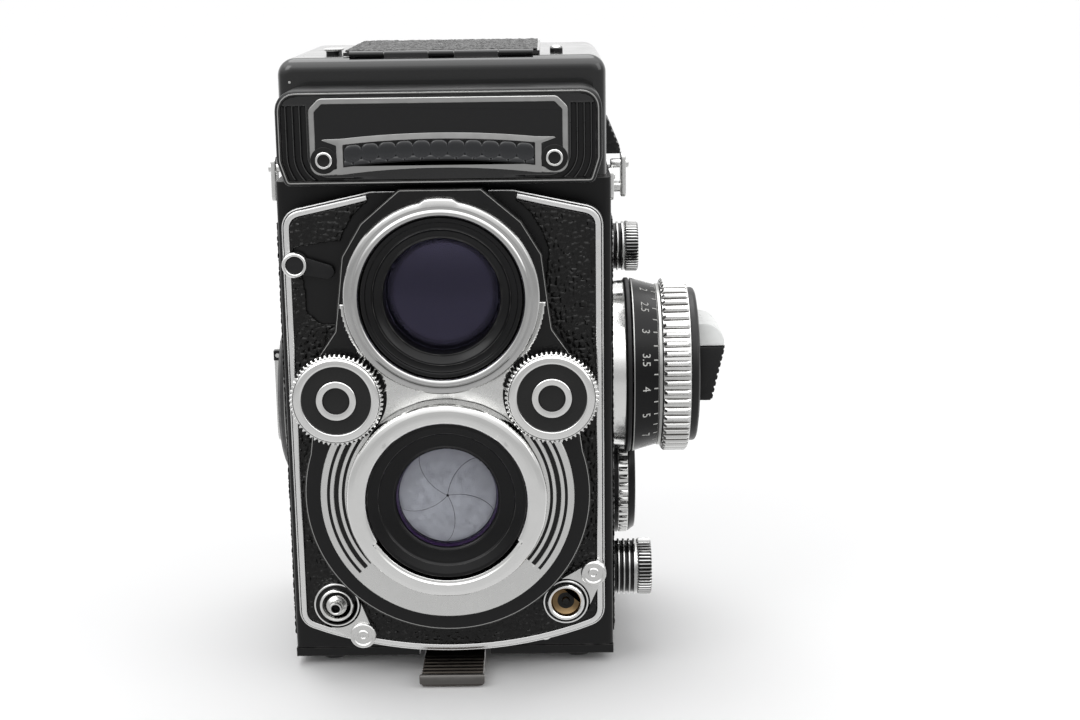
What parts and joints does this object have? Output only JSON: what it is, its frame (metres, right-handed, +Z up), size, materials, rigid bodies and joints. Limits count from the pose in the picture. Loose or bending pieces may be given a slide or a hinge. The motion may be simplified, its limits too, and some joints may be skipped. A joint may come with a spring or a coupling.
{
  "type": "twin lens reflex camera",
  "caption": "Box-shaped roll-film camera with a viewing lens above a taking lens on a sliding front, folding top hood, side focusing knob, winding crank and hinged back",
  "frame": {"origin": "mouth of the tripod socket, at the middle of the base, on the plane the camera stands on", "axes": "+Z up, lenses face -Y, +X is the side with the focusing knob"},
  "size_m": [0.1111, 0.0901, 0.147],
  "materials": {
    "body_shell": "satin black enamel",
    "side_coverings": "black pebbled leatherette",
    "light_chamber": "matt black",
    "reflex_mirror": "front silvered",
    "strap_lugs": "bright",
    "hood_frame": "satin black enamel",
    "hinge_pins": "plain",
    "hood_lid": "satin black enamel",
    "lid_covering": "black pebbled leatherette",
    "magnifier": "clear in a thin frame",
    "hood_flap_left": "matt black",
    "hood_flap_right": "matt black",
    "hood_flap_rear": "matt black",
    "hood_release_right": "ribbed black",
    "hood_release_left": "ribbed black",
    "focusing_screen": "ground on the lower face",
    "nameplate_housing": "gloss black enamel",
    "nameplate": "black field with a bright border",
    "nameplate_screws": "bright",
    "meter_cell_window": "honeycomb of small lenses",
    "selenium_cell": "dark grey",
    "front_plate": "satin black enamel",
    "front_covering": "black pebbled leatherette",
    "front_trim": "satin",
    "focus_rods": "ground",
    "lens_housing": "gloss black enamel",
    "shutter_bezel": "satin with black lines",
    "viewing_bayonet": "bright",
    "taking_bayonet": "bright",
    "viewing_barrel": "black anodised",
    "viewing_glass": "blue-violet coating",
    "taking_glass": "purple coating",
    "shutter_housing": "black anodised",
    "shutter_blades": "dull grey",
    "aperture_wheel": "knurled, black inset",
    "shutter_speed_wheel": "knurled, black inset",
    "release_collar": "bright",
    "release_button": "bright",
    "release_lock_lever": "satin",
    "flash_socket": "bright, brass inside",
    "flash_lock_lever": "satin",
    "sync_lever": "satin, black inset",
    "focus_base_ring": "satin",
    "focus_scale_ring": "black anodised with white figures",
    "focus_knob_grip": "milled, bright",
    "meter_case": "satin black",
    "meter_window": "translucent white",
    "film_dial": "black with bright ribs",
    "upper_spool_knob": "ribbed",
    "lower_spool_knob": "ribbed",
    "take_up_spool": "black",
    "supply_spool": "black",
    "crank_hub": "satin",
    "crank_arm": "satin",
    "back_cover": "satin black enamel",
    "back_covering": "black pebbled leatherette",
    "pressure_plate": "satin black",
    "feet": "dark",
    "tripod_socket": "plain",
    "back_latch": "ribbed, dark"
  },
  "bodies": {
    "body": {"body_shell": "body_shell", "side_coverings": "side_coverings", "light_chamber": "light_chamber", "reflex_mirror": "reflex_mirror", "strap_lugs": "strap_lugs", "hood_frame": "hood_frame", "hinge_pins": "hinge_pins", "focusing_screen": "focusing_screen", "nameplate_housing": "nameplate_housing", "nameplate": "nameplate", "nameplate_screws": "nameplate_screws", "meter_cell_window": "meter_cell_window", "selenium_cell": "selenium_cell", "focus_base_ring": "focus_base_ring", "meter_case": "meter_case", "meter_window": "meter_window"},
    "front_standard": {"front_plate": "front_plate", "front_covering": "front_covering", "front_trim": "front_trim", "focus_rods": "focus_rods", "lens_housing": "lens_housing", "shutter_bezel": "shutter_bezel", "viewing_bayonet": "viewing_bayonet", "taking_bayonet": "taking_bayonet", "viewing_barrel": "viewing_barrel", "viewing_glass": "viewing_glass", "taking_glass": "taking_glass", "shutter_housing": "shutter_housing", "shutter_blades": "shutter_blades", "release_collar": "release_collar", "flash_socket": "flash_socket"},
    "aperture_wheel": {"aperture_wheel": "aperture_wheel"},
    "shutter_speed_wheel": {"shutter_speed_wheel": "shutter_speed_wheel"},
    "release_button": {"release_button": "release_button"},
    "release_lock_lever": {"release_lock_lever": "release_lock_lever"},
    "flash_lock_lever": {"flash_lock_lever": "flash_lock_lever"},
    "sync_lever": {"sync_lever": "sync_lever"},
    "focus_knob": {"focus_scale_ring": "focus_scale_ring", "focus_knob_grip": "focus_knob_grip"},
    "film_dial": {"film_dial": "film_dial"},
    "upper_spool_knob": {"upper_spool_knob": "upper_spool_knob"},
    "lower_spool_knob": {"lower_spool_knob": "lower_spool_knob"},
    "take_up_spool": {"take_up_spool": "take_up_spool"},
    "supply_spool": {"supply_spool": "supply_spool"},
    "crank_hub": {"crank_hub": "crank_hub"},
    "crank_arm": {"crank_arm": "crank_arm"},
    "hood_lid": {"hood_lid": "hood_lid", "lid_covering": "lid_covering", "magnifier": "magnifier"},
    "hood_flap_left": {"hood_flap_left": "hood_flap_left"},
    "hood_flap_right": {"hood_flap_right": "hood_flap_right"},
    "hood_flap_rear": {"hood_flap_rear": "hood_flap_rear"},
    "hood_release_left": {"hood_release_left": "hood_release_left"},
    "hood_release_right": {"hood_release_right": "hood_release_right"},
    "back": {"back_cover": "back_cover", "back_covering": "back_covering", "pressure_plate": "pressure_plate", "feet": "feet", "tripod_socket": "tripod_socket"},
    "back_latch": {"back_latch": "back_latch"}
  },
  "joints": [
    {"name": "focus_slide", "type": "slide", "parent": "body", "child": "front_standard", "axis": [0, -1, 0], "range_m": [-0.004, 0.003]},
    {"name": "focus_knob_turn", "type": "hinge", "parent": "body", "child": "focus_knob", "pos_m": [0.05, -0.008, 0.0683], "axis": [1, 0, 0], "range_deg": [-160, 120]},
    {"name": "aperture_wheel_turn", "type": "hinge", "parent": "front_standard", "child": "aperture_wheel", "pos_m": [-0.0243, -0.049, 0.0706], "axis": [0, -1, 0], "range_deg": [-80, 80]},
    {"name": "shutter_speed_wheel_turn", "type": "hinge", "parent": "front_standard", "child": "shutter_speed_wheel", "pos_m": [0.0243, -0.049, 0.0706], "axis": [0, -1, 0], "range_deg": [-80, 80]},
    {"name": "release_press", "type": "slide", "parent": "front_standard", "child": "release_button", "axis": [0, 1, 0], "range_m": [0, 0.0025]},
    {"name": "release_lock_turn", "type": "hinge", "parent": "front_standard", "child": "release_lock_lever", "pos_m": [-0.0271, -0.042, 0.0188], "axis": [0, 1, 0], "range_deg": [0, 35]},
    {"name": "flash_lock_turn", "type": "hinge", "parent": "front_standard", "child": "flash_lock_lever", "pos_m": [0.027, -0.042, 0.0189], "axis": [0, 1, 0], "range_deg": [0, 35]},
    {"name": "sync_lever_turn", "type": "hinge", "parent": "front_standard", "child": "sync_lever", "pos_m": [-0.0262, -0.041, 0.0985], "axis": [0, -1, 0], "range_deg": [-5, 30]},
    {"name": "film_dial_turn", "type": "hinge", "parent": "body", "child": "film_dial", "pos_m": [0.042, 0.013, 0.0345], "axis": [1, 0, 0], "continuous": true},
    {"name": "upper_spool_knob_pull", "type": "slide", "parent": "body", "child": "upper_spool_knob", "axis": [1, 0, 0], "range_m": [0, 0.005]},
    {"name": "lower_spool_knob_pull", "type": "slide", "parent": "body", "child": "lower_spool_knob", "axis": [1, 0, 0], "range_m": [0, 0.005]},
    {"name": "crank_turn", "type": "hinge", "parent": "body", "child": "crank_hub", "pos_m": [-0.04, -0.003, 0.061], "axis": [1, 0, 0], "continuous": true},
    {"name": "crank_fold", "type": "hinge", "parent": "crank_hub", "child": "crank_arm", "pos_m": [-0.0435, -0.003, 0.072], "axis": [0, 1, 0], "range_deg": [0, 170]},
    {"name": "take_up_spool_turn", "type": "hinge", "parent": "body", "child": "take_up_spool", "pos_m": [0, 0.0175, 0.094], "axis": [1, 0, 0], "continuous": true},
    {"name": "supply_spool_turn", "type": "hinge", "parent": "body", "child": "supply_spool", "pos_m": [0, -0.015, 0.018], "axis": [1, 0, 0], "continuous": true},
    {"name": "hood_lid_open", "type": "hinge", "parent": "body", "child": "hood_lid", "pos_m": [0, -0.0274, 0.1463], "axis": [1, 0, 0], "range_deg": [0, 90]},
    {"name": "hood_flap_left_open", "type": "hinge", "parent": "body", "child": "hood_flap_left", "pos_m": [-0.0203, -0.002, 0.142], "axis": [0, -1, 0], "range_deg": [0, 90]},
    {"name": "hood_flap_right_open", "type": "hinge", "parent": "body", "child": "hood_flap_right", "pos_m": [0.0203, -0.002, 0.142], "axis": [0, 1, 0], "range_deg": [0, 90]},
    {"name": "hood_flap_rear_open", "type": "hinge", "parent": "body", "child": "hood_flap_rear", "pos_m": [0, 0.0203, 0.1407], "axis": [-1, 0, 0], "range_deg": [0, 90]},
    {"name": "hood_release_left_press", "type": "slide", "parent": "body", "child": "hood_release_left", "axis": [1, 0, 0], "range_m": [0, 0.0012]},
    {"name": "hood_release_right_press", "type": "slide", "parent": "body", "child": "hood_release_right", "axis": [-1, 0, 0], "range_m": [0, 0.0012]},
    {"name": "back_open", "type": "hinge", "parent": "body", "child": "back", "pos_m": [0, 0.0325, 0.1195], "axis": [1, 0, 0], "range_deg": [0, 110]},
    {"name": "back_latch_open", "type": "hinge", "parent": "back", "child": "back_latch", "pos_m": [0, -0.0296, 0.0032], "axis": [1, 0, 0], "range_deg": [0, 55]}
  ],
  "couplings": [
    {"joint": "focus_knob_turn", "follows": "focus_slide", "rad_per_m": 680},
    {"joint": "hood_flap_left_open", "follows": "hood_lid_open", "ratio": 1},
    {"joint": "hood_flap_right_open", "follows": "hood_lid_open", "ratio": 1},
    {"joint": "hood_flap_rear_open", "follows": "hood_lid_open", "ratio": 1},
    {"joint": "take_up_spool_turn", "follows": "crank_turn", "ratio": 1}
  ]
}
